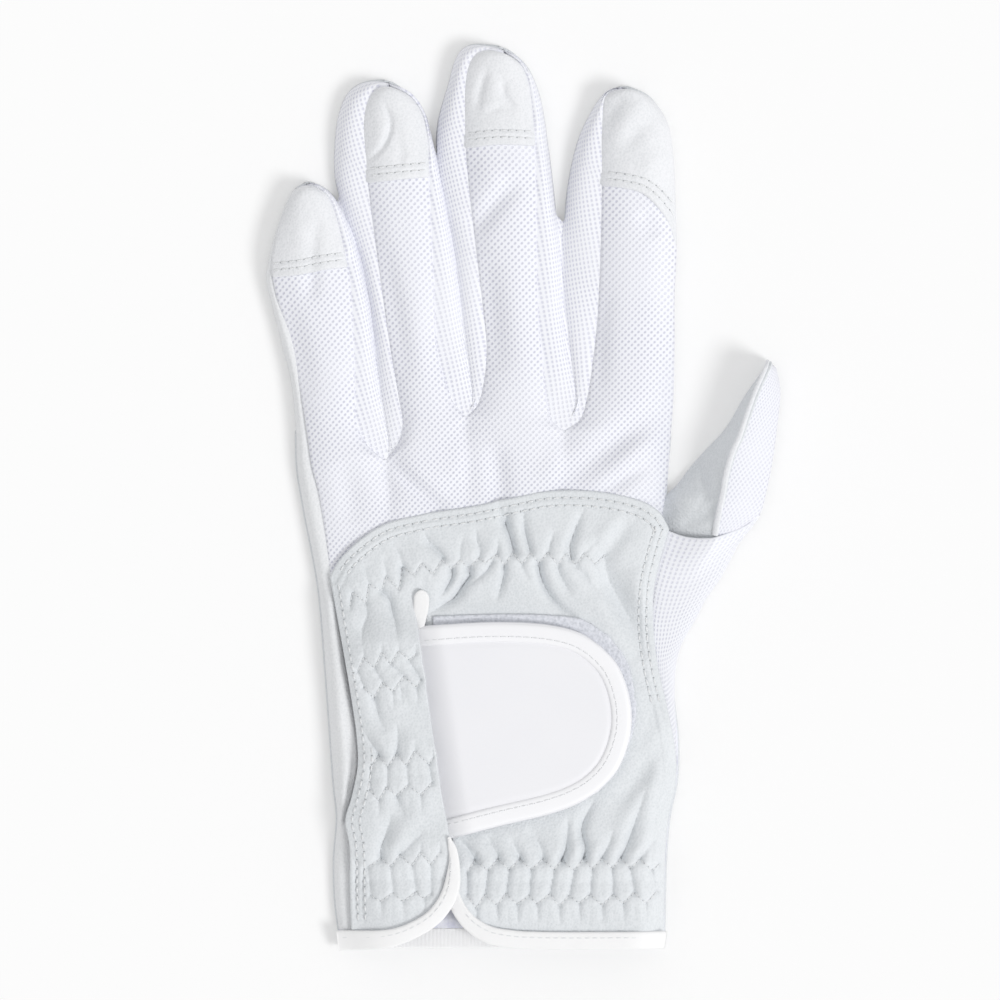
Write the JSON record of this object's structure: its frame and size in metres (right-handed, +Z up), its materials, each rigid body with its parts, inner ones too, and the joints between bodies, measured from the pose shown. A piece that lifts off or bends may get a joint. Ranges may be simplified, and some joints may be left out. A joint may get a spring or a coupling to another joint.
{
  "type": "golf glove",
  "caption": "Left-hand golf glove lying palm down, with leather palm, mesh back, leather fingertip caps, gathered wrist panel and a hook-and-loop closing tab that opens.",
  "frame": {"origin": "on the floor plane under the middle of the glove's bounding box, at the underside of the palm", "axes": "+Y from the cuff to the fingertips, +X to the thumb, +Z up out of the back of the hand"},
  "size_m": [0.13, 0.2262, 0.0132],
  "materials": {
    "leather": "thin supple white glove leather, fine grain, soft sheen",
    "mesh": "white perforated stretch mesh, matt",
    "binding_tape": "smooth white binding tape",
    "tab_face": "smooth white synthetic leather, left bare",
    "loop_fleece": "pale grey loop fleece",
    "hook_tape": "white hook tape",
    "elastic": "white ribbed elastic"
  },
  "bodies": {
    "hand": {"palm_panel": "leather", "little_edge_wrap": "leather", "back_panel": "mesh", "gusset_little_ring": "mesh", "gusset_ring_middle": "mesh", "gusset_middle_index": "mesh", "tip_cap_little": "leather", "tip_cap_ring": "leather", "tip_cap_middle": "leather", "tip_cap_index": "leather", "thumb_gusset": "mesh", "wrist_panel": "leather", "flap_binding": "binding_tape", "slit_binding": "binding_tape", "palm_cuff_band": "elastic", "knuckle_elastic": "elastic", "side_elastic_upper": "elastic", "side_elastic_lower": "elastic", "cuff_elastic_little": "elastic", "cuff_elastic_thumb": "elastic", "loop_patch": "loop_fleece", "tab_root": "tab_face"},
    "closure_tab": {"tab_face": "tab_face", "tab_binding": "binding_tape", "tab_hook": "hook_tape"},
    "thumb": {"thumb_palm": "leather", "thumb_back": "mesh"}
  },
  "joints": [
    {"name": "tab_fold", "type": "hinge", "parent": "hand", "child": "closure_tab", "pos_m": [-0.02035, -0.05933, 0.01095], "axis": [0.1045, -0.9945, 0], "range_deg": [0, 115]},
    {"name": "thumb_fold", "type": "hinge", "parent": "hand", "child": "thumb", "pos_m": [0.04747, -0.00884, 0.009], "axis": [1, 0, 0], "range_deg": [0, 70]}
  ]
}
